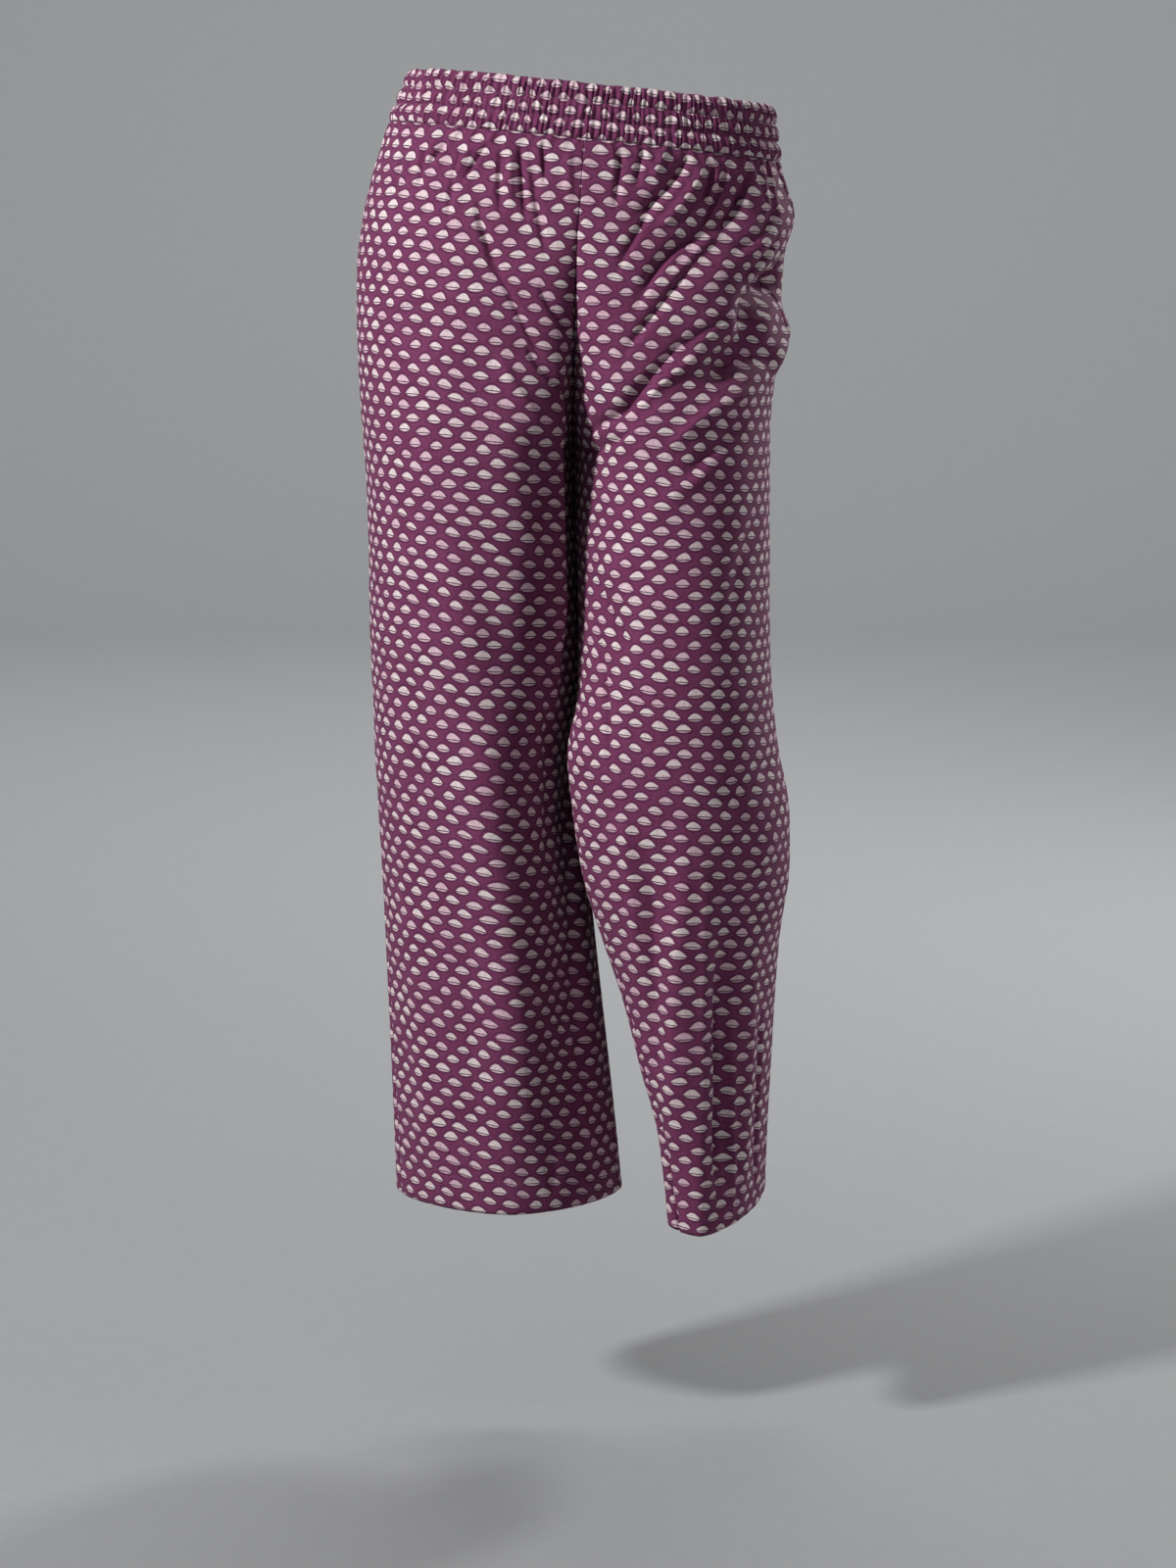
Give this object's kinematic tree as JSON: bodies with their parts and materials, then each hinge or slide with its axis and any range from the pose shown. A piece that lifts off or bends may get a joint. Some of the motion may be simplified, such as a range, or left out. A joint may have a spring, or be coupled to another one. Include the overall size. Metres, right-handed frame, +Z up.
{
  "type": "elastic-waist wide-leg trousers",
  "caption": "Wide straight-leg cotton trousers of a kurti set, with a gathered elastic waistband, in the hollow form they have when worn.",
  "frame": {"origin": "the middle of the waist, at half the height of the waistband, where the wearer holds the trousers up", "axes": "-Y towards the wearer's front, +X towards the wearer's left, +Z up"},
  "size_m": [0.3469, 0.2728, 0.9204],
  "materials": {
    "printed_cotton": "plum cotton, block-printed with small cream half-round motifs",
    "waistband_cotton": "the same printed cotton, gathered over three rows of elastic"
  },
  "bodies": {
    "root": {"waistband": "waistband_cotton", "front_right": "printed_cotton", "back_right": "printed_cotton", "front_left": "printed_cotton", "back_left": "printed_cotton", "hem_right": "printed_cotton", "hem_left": "printed_cotton"}
  },
  "joints": []
}
